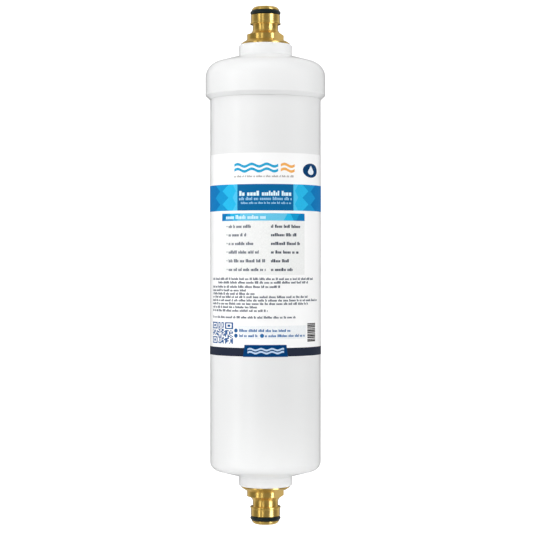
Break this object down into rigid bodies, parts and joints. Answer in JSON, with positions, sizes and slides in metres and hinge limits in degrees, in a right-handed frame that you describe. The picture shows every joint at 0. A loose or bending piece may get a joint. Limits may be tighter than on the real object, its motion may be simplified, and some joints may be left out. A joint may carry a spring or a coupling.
{
  "type": "inline water filter",
  "caption": "Sealed inline water filter canister with a domed cap and a brass click-on hose nipple screwed into the port at each end.",
  "frame": {"origin": "centre of the mouth of the outlet nipple, the lowest point of the filter", "axes": "+Z along the filter from the outlet nipple to the inlet nipple, -Y out of the front of the label, +X to the right of the label seen from the front"},
  "size_m": [0.0692, 0.0692, 0.298],
  "materials": {
    "white_shell": "smooth moulded white polypropylene with a soft gloss",
    "label_film": "printed film, satin",
    "brass": "turned brass with fine circular tool marks",
    "black_rubber": "moulded, faint sheen",
    "grey_rubber": "flat cut washer",
    "seal_tape": "thin wound film",
    "carbon": "pressed carbon, slightly grainy",
    "sediment_fabric": "non-woven felt",
    "net_plastic": "extruded net",
    "end_plastic": "moulded",
    "hot_melt": "set hot-melt"
  },
  "bodies": {
    "filter_body": {"canister": "white_shell", "end_cap": "white_shell", "label": "label_film", "carbon_block": "carbon", "sediment_wrap": "sediment_fabric", "netting_sleeve": "net_plastic", "core_wrap": "sediment_fabric", "closed_end_cap": "end_plastic", "open_end_cap": "end_plastic", "upper_bond_disc": "hot_melt", "lower_bond_ring": "hot_melt", "spigot_oring_lower": "black_rubber", "spigot_oring_upper": "black_rubber", "centring_spider": "end_plastic"},
    "inlet_seal": {"inlet_washer": "grey_rubber"},
    "inlet_nipple": {"inlet_adapter": "brass", "inlet_oring": "black_rubber", "inlet_thread_tape": "seal_tape"},
    "outlet_seal": {"outlet_washer": "grey_rubber"},
    "outlet_nipple": {"outlet_adapter": "brass", "outlet_oring": "black_rubber", "outlet_thread_tape": "seal_tape"}
  },
  "joints": [
    {"name": "inlet_lift", "type": "slide", "parent": "filter_body", "child": "inlet_seal", "axis": [0, 0, 1], "range_m": [0, 0.0113]},
    {"name": "inlet_turn", "type": "hinge", "parent": "inlet_seal", "child": "inlet_nipple", "pos_m": [0, 0, 0.276], "axis": [0, 0, 1], "range_deg": [0, 2880]},
    {"name": "outlet_lift", "type": "slide", "parent": "filter_body", "child": "outlet_seal", "axis": [0, 0, -1], "range_m": [0, 0.0113]},
    {"name": "outlet_turn", "type": "hinge", "parent": "outlet_seal", "child": "outlet_nipple", "pos_m": [0, 0, 0.022], "axis": [0, 0, -1], "range_deg": [0, 2880]}
  ],
  "couplings": [
    {"joint": "inlet_lift", "follows": "inlet_turn", "m_per_rad": 0.00022458},
    {"joint": "outlet_lift", "follows": "outlet_turn", "m_per_rad": 0.00022458}
  ]
}
